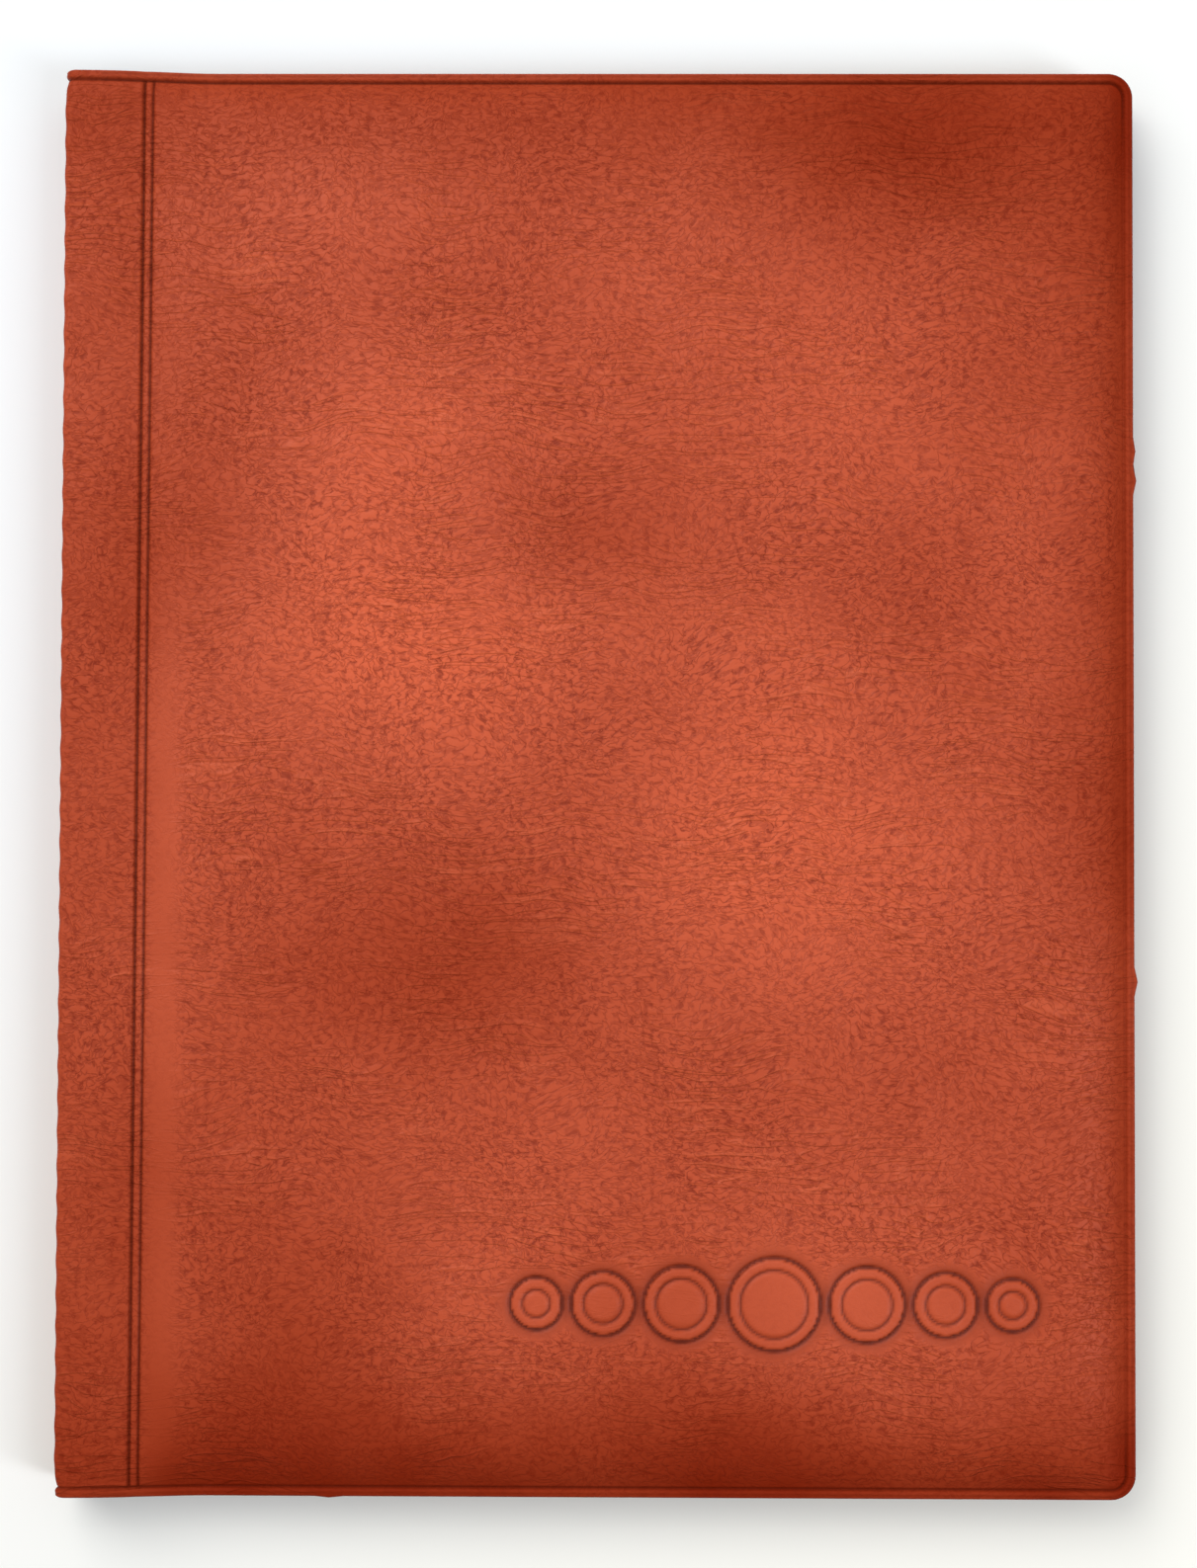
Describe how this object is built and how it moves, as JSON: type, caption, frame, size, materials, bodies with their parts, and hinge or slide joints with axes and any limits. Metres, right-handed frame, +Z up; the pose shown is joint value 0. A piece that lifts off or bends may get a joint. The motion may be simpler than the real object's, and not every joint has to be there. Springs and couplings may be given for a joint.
{
  "type": "coin album",
  "caption": "Closed padded leatherette coin album: welded soft covers on weld hinges, a folding spine and clear film pages with rows of coin pockets.",
  "frame": {"origin": "middle of the bottom face, where the closed album lies on its back cover", "axes": "+X from the spine to the fore edge, +Y to the top of the pages along the spine, +Z up to the front cover"},
  "size_m": [0.188, 0.25, 0.0145],
  "materials": {
    "leatherette": "grained PVC leatherette, satin",
    "lining": "smooth PVC sheet, matt",
    "foam": "open-cell foam",
    "greyboard": "raw greyboard",
    "clear_film": "clear soft PVC film, glossy",
    "pocket_film": "clear soft PVC film, glossy"
  },
  "bodies": {
    "back_cover": {"back_cover_skin": "leatherette", "back_foam": "foam", "back_board": "greyboard", "back_cover_lining": "lining"},
    "back_strip": {"back_strip_skin": "leatherette", "back_strip_lining": "lining"},
    "spine_wall": {"spine_wall_skin": "leatherette", "spine_wall_lining": "lining", "binding_seam": "clear_film"},
    "page_1": {"page_1": "clear_film", "pockets_1": "pocket_film"},
    "page_2": {"page_2": "clear_film", "pockets_2": "pocket_film"},
    "page_3": {"page_3": "clear_film", "pockets_3": "pocket_film"},
    "page_4": {"page_4": "clear_film", "pockets_4": "pocket_film"},
    "page_5": {"page_5": "clear_film", "pockets_5": "pocket_film"},
    "page_6": {"page_6": "clear_film", "pockets_6": "pocket_film"},
    "page_7": {"page_7": "clear_film", "pockets_7": "pocket_film"},
    "page_8": {"page_8": "clear_film", "pockets_8": "pocket_film"},
    "front_strip": {"front_strip_skin": "leatherette", "front_strip_lining": "lining"},
    "front_cover": {"front_cover_skin": "leatherette", "front_foam": "foam", "front_board": "greyboard", "front_cover_lining": "lining"}
  },
  "joints": [
    {"name": "back_weld_hinge", "type": "hinge", "parent": "back_cover", "child": "back_strip", "pos_m": [-0.0802, 0, 0.0012], "axis": [0, -1, 0], "range_deg": [0, 45]},
    {"name": "spine_back_fold", "type": "hinge", "parent": "back_strip", "child": "spine_wall", "pos_m": [-0.0937, 0, 0.0005], "axis": [0, -1, 0], "range_deg": [0, 90]},
    {"name": "spine_front_fold", "type": "hinge", "parent": "spine_wall", "child": "front_strip", "pos_m": [-0.0937, 0, 0.014], "axis": [0, -1, 0], "range_deg": [0, 90]},
    {"name": "front_weld_hinge", "type": "hinge", "parent": "front_strip", "child": "front_cover", "pos_m": [-0.0802, 0, 0.0133], "axis": [0, -1, 0], "range_deg": [0, 140]},
    {"name": "page_1_fold", "type": "hinge", "parent": "spine_wall", "child": "page_1", "pos_m": [-0.0895, 0, 0.00995], "axis": [0, -1, 0], "range_deg": [0, 88]},
    {"name": "page_2_fold", "type": "hinge", "parent": "spine_wall", "child": "page_2", "pos_m": [-0.0895, 0, 0.00915], "axis": [0, -1, 0], "range_deg": [0, 84]},
    {"name": "page_3_fold", "type": "hinge", "parent": "spine_wall", "child": "page_3", "pos_m": [-0.0895, 0, 0.00835], "axis": [0, -1, 0], "range_deg": [0, 80]},
    {"name": "page_4_fold", "type": "hinge", "parent": "spine_wall", "child": "page_4", "pos_m": [-0.0895, 0, 0.00755], "axis": [0, -1, 0], "range_deg": [0, 76]},
    {"name": "page_5_fold", "type": "hinge", "parent": "spine_wall", "child": "page_5", "pos_m": [-0.0895, 0, 0.00675], "axis": [0, -1, 0], "range_deg": [-76, 0]},
    {"name": "page_6_fold", "type": "hinge", "parent": "spine_wall", "child": "page_6", "pos_m": [-0.0895, 0, 0.00595], "axis": [0, -1, 0], "range_deg": [-80, 0]},
    {"name": "page_7_fold", "type": "hinge", "parent": "spine_wall", "child": "page_7", "pos_m": [-0.0895, 0, 0.00515], "axis": [0, -1, 0], "range_deg": [-84, 0]},
    {"name": "page_8_fold", "type": "hinge", "parent": "spine_wall", "child": "page_8", "pos_m": [-0.0895, 0, 0.00435], "axis": [0, -1, 0], "range_deg": [-88, 0]}
  ],
  "couplings": [
    {"joint": "spine_front_fold", "follows": "spine_back_fold", "ratio": 1},
    {"joint": "page_1_fold", "follows": "spine_back_fold", "ratio": 0.97778},
    {"joint": "page_2_fold", "follows": "spine_back_fold", "ratio": 0.93333},
    {"joint": "page_3_fold", "follows": "spine_back_fold", "ratio": 0.88889},
    {"joint": "page_4_fold", "follows": "spine_back_fold", "ratio": 0.84444},
    {"joint": "page_5_fold", "follows": "spine_back_fold", "ratio": -0.84444},
    {"joint": "page_6_fold", "follows": "spine_back_fold", "ratio": -0.88889},
    {"joint": "page_7_fold", "follows": "spine_back_fold", "ratio": -0.93333},
    {"joint": "page_8_fold", "follows": "spine_back_fold", "ratio": -0.97778}
  ]
}
